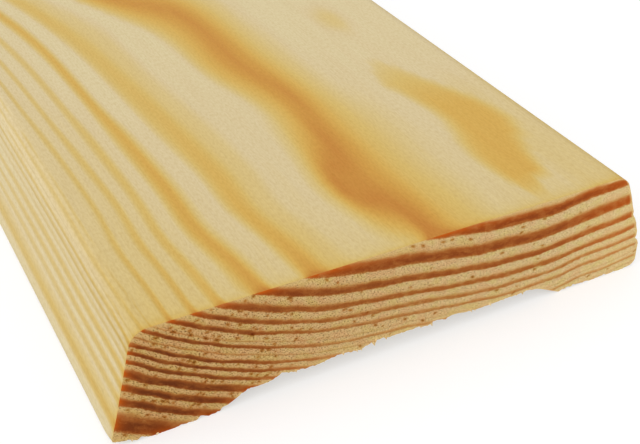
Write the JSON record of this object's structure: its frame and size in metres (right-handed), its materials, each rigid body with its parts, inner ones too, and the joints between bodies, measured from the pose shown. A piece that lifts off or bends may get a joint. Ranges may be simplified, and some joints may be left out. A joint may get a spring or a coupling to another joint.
{
  "type": "door casing",
  "caption": "Straight length of planed pine door casing with slanted edges, rounded face arrises and a hollow back between two bearing feet.",
  "frame": {"origin": "middle of the back plane, halfway along the length", "axes": "+X across the width, +Y along the length, +Z from the back towards the show face"},
  "size_m": [0.058, 2.2, 0.012],
  "materials": {
    "pine": "planed bare softwood, rough-sawn ends"
  },
  "bodies": {
    "root": {"door_casing": "pine"}
  },
  "joints": []
}
